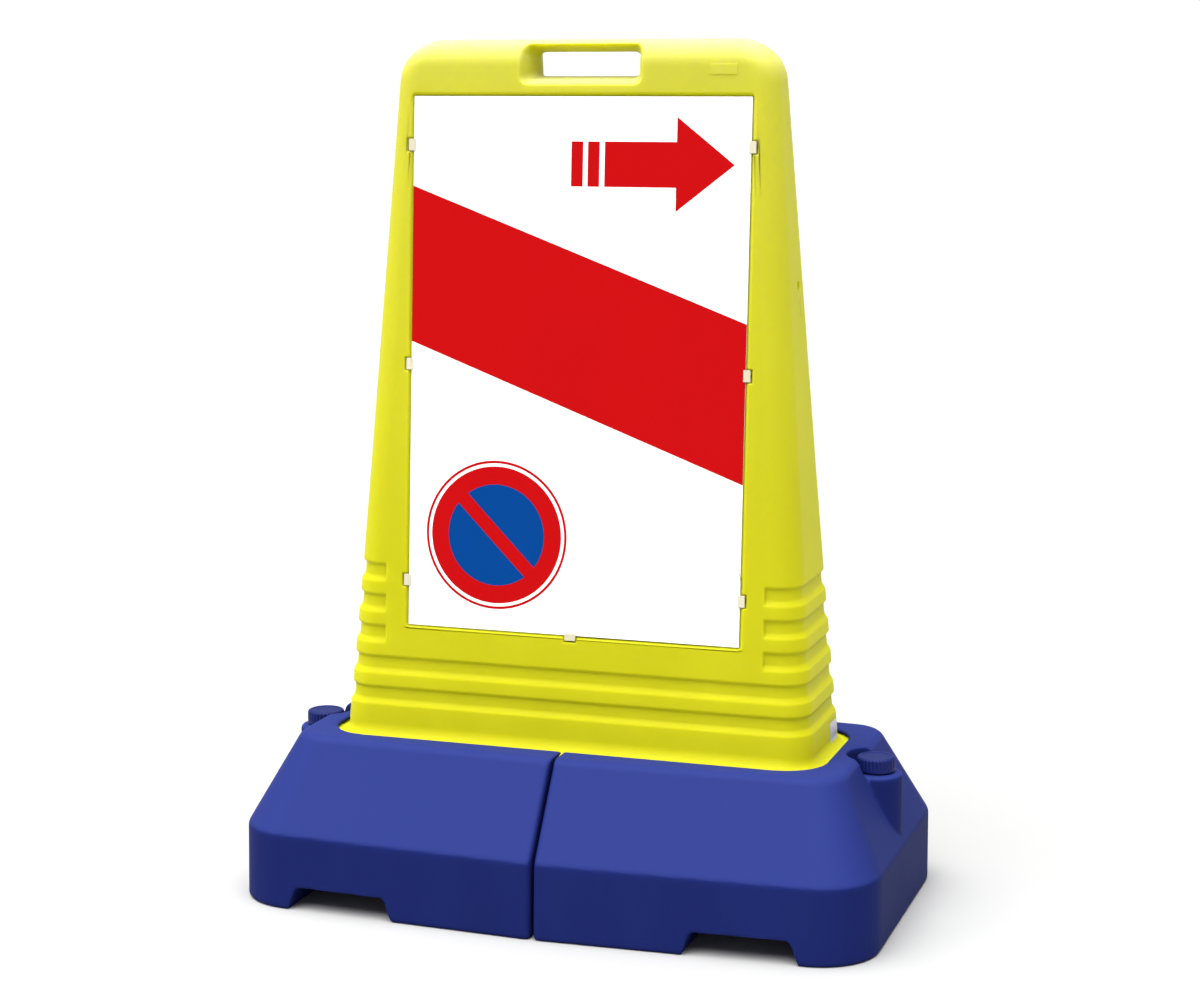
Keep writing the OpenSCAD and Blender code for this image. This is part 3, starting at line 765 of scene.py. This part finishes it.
def moulded_skin_group():
    """Uneven tone, gloss and fine orange peel of a blow-moulded skin."""
    group = bpy.data.node_groups.new("moulded_skin", "ShaderNodeTree")
    socket(group, "Peel", "NodeSocketFloat", "INPUT", 420.0)
    socket(group, "Flow", "NodeSocketFloat", "INPUT", 9.0)
    socket(group, "Tone", "NodeSocketFloat", "OUTPUT")
    socket(group, "Height", "NodeSocketFloat", "OUTPUT")
    nodes, links = group.nodes, group.links
    entry, leave = nodes.new("NodeGroupInput"), nodes.new("NodeGroupOutput")
    place = nodes.new("ShaderNodeTexCoord")
    stretch = nodes.new("ShaderNodeMapping")
    stretch.inputs["Scale"].default_value = (1.0, 1.0, 0.45)
    links.new(place.outputs["Object"], stretch.inputs["Vector"])
    flow = nodes.new("ShaderNodeTexNoise")
    flow.inputs["Detail"].default_value = 3.0
    links.new(stretch.outputs["Vector"], flow.inputs["Vector"])
    links.new(entry.outputs["Flow"], flow.inputs["Scale"])
    peel = nodes.new("ShaderNodeTexNoise")
    peel.inputs["Detail"].default_value = 2.5
    peel.inputs["Roughness"].default_value = 0.6
    links.new(place.outputs["Object"], peel.inputs["Vector"])
    links.new(entry.outputs["Peel"], peel.inputs["Scale"])
    links.new(flow.outputs["Fac"], leave.inputs["Tone"])
    links.new(peel.outputs["Fac"], leave.inputs["Height"])
    return group


def rubbed_edge_group():
    """A mask of the places that hands, feet and trolleys rub: crests and outer edges."""
    group = bpy.data.node_groups.new("rubbed_edges", "ShaderNodeTree")
    socket(group, "Amount", "NodeSocketFloat", "INPUT", 0.4)
    socket(group, "Mask", "NodeSocketFloat", "OUTPUT")
    nodes, links = group.nodes, group.links
    entry, leave = nodes.new("NodeGroupInput"), nodes.new("NodeGroupOutput")
    shape = nodes.new("ShaderNodeNewGeometry")
    crest = nodes.new("ShaderNodeMapRange")
    crest.inputs["From Min"].default_value = 0.52
    crest.inputs["From Max"].default_value = 0.62
    links.new(shape.outputs["Pointiness"], crest.inputs["Value"])
    place = nodes.new("ShaderNodeTexCoord")
    patchy = nodes.new("ShaderNodeTexNoise")
    patchy.inputs["Scale"].default_value = 60.0
    patchy.inputs["Detail"].default_value = 5.0
    links.new(place.outputs["Object"], patchy.inputs["Vector"])
    some = nodes.new("ShaderNodeMapRange")
    some.inputs["From Min"].default_value = 0.45
    some.inputs["From Max"].default_value = 0.7
    links.new(patchy.outputs["Fac"], some.inputs["Value"])
    both, amount = nodes.new("ShaderNodeMath"), nodes.new("ShaderNodeMath")
    both.operation = amount.operation = "MULTIPLY"
    links.new(crest.outputs["Result"], both.inputs[0])
    links.new(some.outputs["Result"], both.inputs[1])
    links.new(both.outputs[0], amount.inputs[0])
    links.new(entry.outputs["Amount"], amount.inputs[1])
    links.new(amount.outputs[0], leave.inputs["Mask"])
    return group


def plastic(name, colour, deep, rubbed, *, rough, sheen, peel_scale=420.0, peel_depth=0.05,
            wear=0.0):
    """A moulded plastic: two tones of one colour, paler where it is rubbed."""
    material = bpy.data.materials.new(name)
    material.use_nodes = True
    nodes, links = material.node_tree.nodes, material.node_tree.links
    shader = nodes["Principled BSDF"]
    skin = nodes.new("ShaderNodeGroup")
    skin.node_tree = SKIN
    skin.inputs["Peel"].default_value = peel_scale
    tone = nodes.new("ShaderNodeValToRGB")
    tone.color_ramp.elements[0].position = 0.32
    tone.color_ramp.elements[1].position = 0.68
    tone.color_ramp.elements[0].color = (*deep, 1)
    tone.color_ramp.elements[1].color = (*colour, 1)
    links.new(skin.outputs["Tone"], tone.inputs["Fac"])
    edges = nodes.new("ShaderNodeGroup")
    edges.node_tree = RUBBED
    edges.inputs["Amount"].default_value = wear
    mixed = nodes.new("ShaderNodeMix")
    mixed.data_type = "RGBA"
    mixed.inputs["B"].default_value = (*rubbed, 1)
    links.new(edges.outputs["Mask"], mixed.inputs["Factor"])
    links.new(tone.outputs["Color"], mixed.inputs["A"])
    links.new(mixed.outputs["Result"], shader.inputs["Base Color"])
    gloss = nodes.new("ShaderNodeMapRange")
    gloss.inputs["To Min"].default_value = rough - 0.05
    gloss.inputs["To Max"].default_value = rough + 0.06
    links.new(skin.outputs["Tone"], gloss.inputs["Value"])
    links.new(gloss.outputs["Result"], shader.inputs["Roughness"])
    bump = nodes.new("ShaderNodeBump")
    bump.inputs["Strength"].default_value = peel_depth
    bump.inputs["Distance"].default_value = 0.0004
    links.new(skin.outputs["Height"], bump.inputs["Height"])
    links.new(bump.outputs["Normal"], shader.inputs["Normal"])
    shader.inputs["Specular IOR Level"].default_value = sheen
    return material


def dress(piece, material, body, *replaced, slot=None):
    """Give a piece its material, its body and the solids that it stands for."""
    piece.data.materials.clear()
    piece.data.materials.append(material)
    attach(piece, body)
    if replaced:
        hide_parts(*replaced)


def upward_share(nodes, links, low, high, most):
    """How much a surface looks up: none up to a normal of low, most of it from high on."""
    facing, parts = nodes.new("ShaderNodeNewGeometry"), nodes.new("ShaderNodeSeparateXYZ")
    share = nodes.new("ShaderNodeMapRange")
    for key, value in (("From Min", low), ("From Max", high), ("To Max", most)):
        share.inputs[key].default_value = value
    links.new(facing.outputs["Normal"], parts.inputs["Vector"])
    links.new(parts.outputs["Z"], share.inputs["Value"])
    return share.outputs["Result"]


def mix_in(material, pale, share):
    """Mix a paler tone into a material's colour by a share."""
    nodes, links = material.node_tree.nodes, material.node_tree.links
    shader = nodes["Principled BSDF"]
    before = shader.inputs["Base Color"].links[0].from_socket
    over = nodes.new("ShaderNodeMix")
    over.data_type = "RGBA"
    over.inputs["B"].default_value = (*pale, 1)
    links.new(share, over.inputs["Factor"])
    links.new(before, over.inputs["A"])
    links.new(over.outputs["Result"], shader.inputs["Base Color"])


def paint_light_on_upward_faces(material, pale):
    """Painted light: let a colour pale on the slopes and decks, the faces that look up to the light."""
    nodes, links = material.node_tree.nodes, material.node_tree.links
    mix_in(material, pale, upward_share(nodes, links, 0.28, 0.62, 1.0))


def paint_highlight_towards_top(material, pale):
    """Painted highlight: let a colour pale with height and on faces that look up, most on the crown,
    where the overhead light falls.
    """
    nodes, links = material.node_tree.nodes, material.node_tree.links
    place, split = nodes.new("ShaderNodeTexCoord"), nodes.new("ShaderNodeSeparateXYZ")
    span = nodes.new("ShaderNodeMapRange")
    span.inputs["From Max"].default_value = TOWER_TOP * MM
    rise = nodes.new("ShaderNodeValToRGB")
    steps = rise.color_ramp.elements
    steps.new(0.7)
    steps.new(0.93)
    for index, (position, amount) in enumerate(((0.4, 0.0), (0.7, 0.2), (0.93, 0.5), (1.0, 1.0))):
        steps[index].position = position
        steps[index].color = (amount, amount, amount, 1)
    share = nodes.new("ShaderNodeMath")
    share.operation = "MULTIPLY"
    links.new(place.outputs["Object"], split.inputs["Vector"])
    links.new(split.outputs["Z"], span.inputs["Value"])
    links.new(span.outputs["Result"], rise.inputs["Fac"])
    links.new(rise.outputs["Color"], share.inputs[0])
    links.new(upward_share(nodes, links, -0.3, 1.0, 0.55), share.inputs[1])
    mix_in(material, pale, share.outputs["Value"])


# The materials, with colours in linear light
SKIN = moulded_skin_group()
RUBBED = rubbed_edge_group()
YELLOW = plastic("moulded_yellow", (0.485, 0.470, 0.009), (0.455, 0.440, 0.007),
                 (0.56, 0.55, 0.12), rough=0.52, peel_depth=0.25, wear=0.15, sheen=0.06)
for key, value in (("Weight", 0.85), ("Scale", 0.018), ("Radius", (1.0, 0.95, 0.1))):
    YELLOW.node_tree.nodes["Principled BSDF"].inputs["Subsurface " + key].default_value = value
# Painted highlight: the yellow turns paler towards the crown and on its upward faces
paint_highlight_towards_top(YELLOW, (0.60, 0.59, 0.36))
BLUE = plastic("moulded_blue", (0.0080, 0.0145, 0.100), (0.0068, 0.0125, 0.088),
               (0.04, 0.06, 0.26), rough=0.6, peel_depth=0.35, wear=0.2, sheen=0.04)
# Painted light: the blue turns paler on the tanks' slopes and decks, which face up to the light
paint_light_on_upward_faces(BLUE, (0.0170, 0.0270, 0.146))
CAP_BLUE = plastic("cap_plastic", (0.007, 0.013, 0.105), (0.005, 0.010, 0.085), (0.04, 0.06, 0.24),
                   rough=0.45, peel_scale=700.0, peel_depth=0.2, wear=0.25, sheen=0.12)
WHITE = plastic("panel_sheet", (0.90, 0.90, 0.90), (0.88, 0.88, 0.88), (0.9, 0.9, 0.9),
                rough=0.4, peel_scale=160.0, sheen=0.15)
RED = plastic("red_ink", (0.42, 0.002, 0.003), (0.41, 0.002, 0.003), (0.42, 0.002, 0.003),
              rough=0.4, peel_scale=160.0, sheen=0.04)
INK_BLUE = plastic("blue_ink", (0.0, 0.044, 0.215), (0.0, 0.042, 0.205), (0.0, 0.044, 0.215),
                   rough=0.4, peel_scale=160.0, sheen=0.04)
MILKY = plastic("milky_clip", (0.60, 0.56, 0.42), (0.52, 0.47, 0.33), (0.66, 0.62, 0.50),
                rough=0.35, peel_scale=300.0, peel_depth=0.1, wear=0.1, sheen=0.3)
FOAM = plastic("seal_foam", (0.32, 0.32, 0.33), (0.26, 0.26, 0.27), (0.4, 0.4, 0.41),
               rough=0.85, peel_scale=1500.0, peel_depth=0.8, sheen=0.3)
LABEL = plastic("bare_label", (0.52, 0.52, 0.58), (0.48, 0.48, 0.55), (0.6, 0.6, 0.62),
                rough=0.3, peel_scale=300.0, sheen=0.5)

# The pieces, each dressed and laid on its body
tower = make_tower()
shade(tower)
dress(tower, YELLOW, "tower", "tower_body", slot="tower_yellow")

label = make_label()
shade(label)
dress(label, LABEL, "tower")

panel = make_panel()
shade(panel)
dress(panel, WHITE, "tower", "sign_panel", slot="panel_white")
red_print, blue_print = make_print()
shade(red_print)
shade(blue_print)
dress(red_print, RED, "tower", slot="panel_white")
dress(blue_print, INK_BLUE, "tower", slot="panel_white")
clips = make_clips()
shade(clips)
dress(clips, MILKY, "tower", "panel_clips", slot="clip_clear")

right_tank = join([make_tank(), make_neck(), neck_thread()], "right_base_tank")
left_tank = mirrored(right_tank, "left_base_tank")
right_cap = make_cap()
left_cap = mirrored(right_cap, "left_screw_cap_piece")
right_seal = make_seal()
left_seal = mirrored(right_seal, "left_seal_piece")
for piece, material, body, node, slot in (
        (right_tank, BLUE, "right_base", "right_tank", "tank_blue"),
        (left_tank, BLUE, "left_base", "left_tank", "tank_blue"),
        (right_cap, CAP_BLUE, "right_screw_cap", "right_cap", "cap_blue"),
        (left_cap, CAP_BLUE, "left_screw_cap", "left_cap", "cap_blue"),
        (right_seal, FOAM, "right_seal", "right_cap_seal", "seal_grey"),
        (left_seal, FOAM, "left_seal", "left_cap_seal", "seal_grey")):
    shade(piece, 45.0)
    dress(piece, material, body, node, slot=slot)

# The floor, a matt sheet just under the sign
put_down()
bpy.ops.mesh.primitive_plane_add(size=24.0, location=(0, 0, -0.0005))
floor = bpy.context.object
floor.name = "floor"
pale = bpy.data.materials.new("pale_floor")
pale.use_nodes = True
matt = pale.node_tree.nodes["Principled BSDF"]
matt.inputs["Base Color"].default_value = (0.37, 0.37, 0.37, 1)
matt.inputs["Roughness"].default_value = 0.9
floor.data.materials.append(pale)

# The sky is bright at the horizon, for an even background, and dimmer higher up
world = bpy.data.worlds.new("studio")
world.use_nodes = True
air, air_links = world.node_tree.nodes, world.node_tree.links
way = air.new("ShaderNodeTexCoord")
height = air.new("ShaderNodeSeparateXYZ")
fade = air.new("ShaderNodeMapRange")
for key, value in (("From Min", 0.06), ("From Max", 0.35), ("To Min", 1.05), ("To Max", 0.3)):
    fade.inputs[key].default_value = value
air_links.new(way.outputs["Generated"], height.inputs["Vector"])
air_links.new(height.outputs["Z"], fade.inputs["Value"])
air_links.new(fade.outputs["Result"], air["Background"].inputs["Strength"])
air["Background"].inputs["Color"].default_value = (1, 1, 1, 1)
bpy.context.scene.world = world
bpy.context.scene.view_settings.view_transform = "Standard"

# A very wide soft light from high up, even over the whole floor
come_from = Vector((-0.10, -0.24, 1.0))
softbox = bpy.data.lights.new("overhead", "SUN")
softbox.angle = math.radians(75.0)
softbox.energy = 8.3
lamp = bpy.data.objects.new("overhead", softbox)
lamp.location = come_from
lamp.rotation_euler = come_from.to_track_quat("Z", "Y").to_euler()
bpy.context.collection.objects.link(lamp)

# The camera, at the place, with the lens and in the direction fitted to the photo
eye = bpy.data.cameras.new("photo_camera")
eye.lens, eye.sensor_width = 75.12, 36.0
camera = bpy.data.objects.new("photo_camera", eye)
camera.location = Vector((1030.5, -3070.9, 1062.3)) * MM
camera.rotation_euler = Vector((-0.3105, 0.9363, -0.1644)).to_track_quat("-Z", "Y").to_euler()
bpy.context.collection.objects.link(camera)
bpy.context.scene.camera = camera

put_down()
